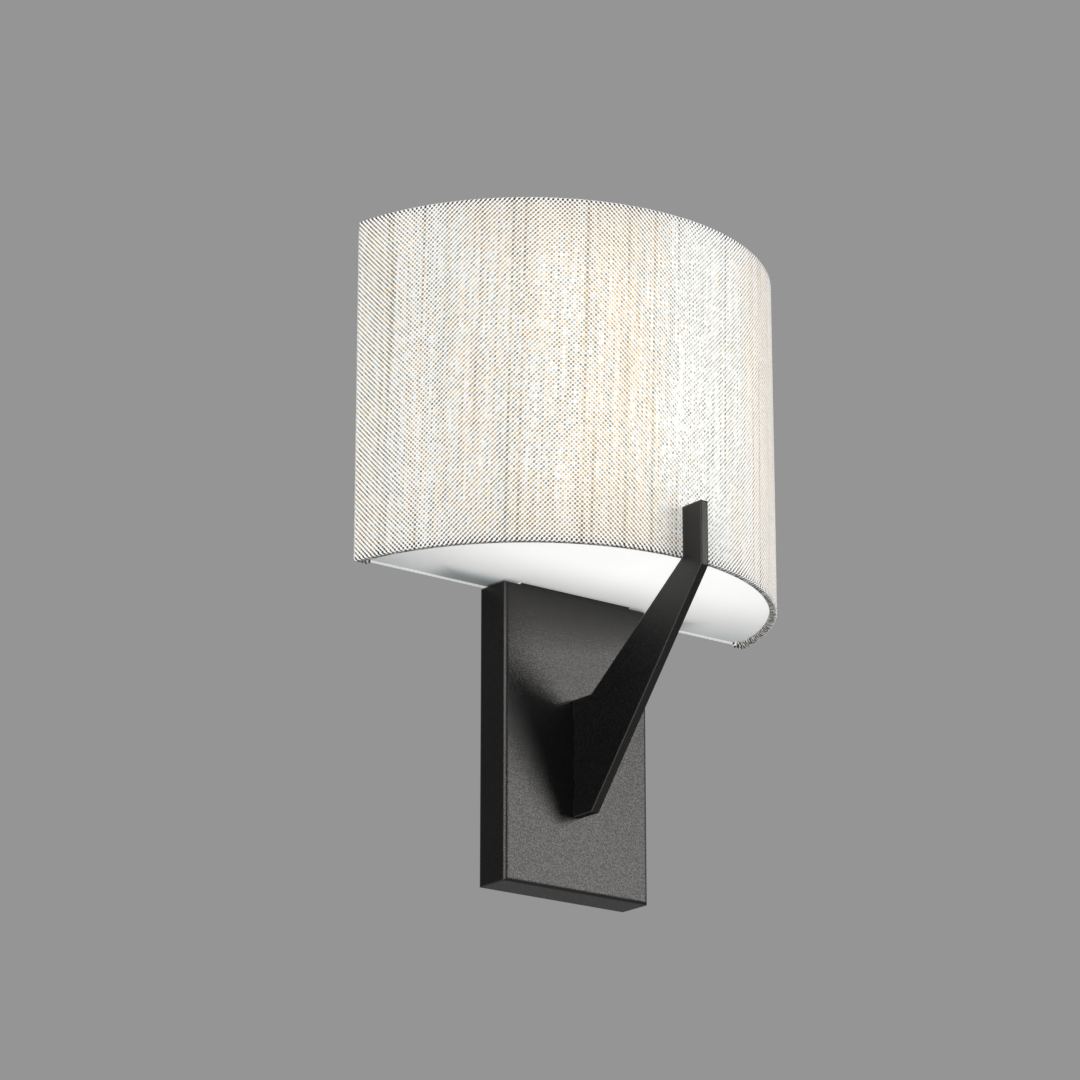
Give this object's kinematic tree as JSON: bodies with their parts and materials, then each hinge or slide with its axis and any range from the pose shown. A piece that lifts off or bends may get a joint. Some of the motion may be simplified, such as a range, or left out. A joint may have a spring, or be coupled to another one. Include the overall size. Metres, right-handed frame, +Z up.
{
  "type": "fabric shade wall light",
  "caption": "Wall light with a half-round fabric shade between opal diffusers, held off a slim black housing by one bent flat steel arm; hangs on a strap.",
  "frame": {"origin": "centre of the mounting strap's two slots, in the wall plane", "axes": "+Y into the wall, +Z up, +X to the right of someone facing the wall"},
  "size_m": [0.2084, 0.1016, 0.2755],
  "materials": {
    "powder_black": "fine-texture satin powder coat",
    "steel_zinc": "zinc plated",
    "white_enamel": "white enamel",
    "shade_fabric": "plain basket weave, cream with tan and grey slubs",
    "shade_liner": "translucent white film",
    "opal_acrylic": "frosted opal",
    "driver_plastic": "moulded",
    "board_white": "solder mask",
    "led_phosphor": "phosphor",
    "bush_rubber": "matt",
    "lead_insulation": "satin"
  },
  "bodies": {
    "wall_strap": {"mounting_strap": "steel_zinc", "ground_screw": "steel_zinc"},
    "fixture": {"housing": "powder_black", "hanger_pins": "steel_zinc", "lock_nut": "steel_zinc", "arm": "powder_black", "arm_bracket": "steel_zinc", "arm_screws": "steel_zinc", "arm_nuts": "steel_zinc", "light_channel": "white_enamel", "neck_nuts": "steel_zinc", "back_pan": "white_enamel", "pan_screws": "steel_zinc", "channel_rivets": "steel_zinc", "led_board": "board_white", "led_chips": "led_phosphor", "board_screws": "steel_zinc", "board_connector": "driver_plastic", "driver_case": "driver_plastic", "driver_rivets": "steel_zinc", "led_leads": "lead_insulation", "lead_bush": "bush_rubber", "shade_fabric": "shade_fabric", "shade_liner": "shade_liner", "bottom_ring": "white_enamel", "top_ring": "white_enamel", "left_stile": "white_enamel", "right_stile": "white_enamel", "bottom_diffuser": "opal_acrylic", "diffuser_studs": "opal_acrylic", "diffuser_nuts": "steel_zinc"},
    "lock_screw": {"lock_screw": "powder_black"},
    "top_diffuser": {"top_diffuser": "opal_acrylic"}
  },
  "joints": [
    {"name": "fixture_lift", "type": "slide", "parent": "wall_strap", "child": "fixture", "axis": [0, 0, 1], "range_m": [0, 0.008]},
    {"name": "lock_screw_out", "type": "slide", "parent": "fixture", "child": "lock_screw", "axis": [1, 0, 0], "range_m": [0, 0.003]},
    {"name": "top_diffuser_lift", "type": "slide", "parent": "fixture", "child": "top_diffuser", "axis": [0, 0, 1], "range_m": [0, 0.04]}
  ]
}
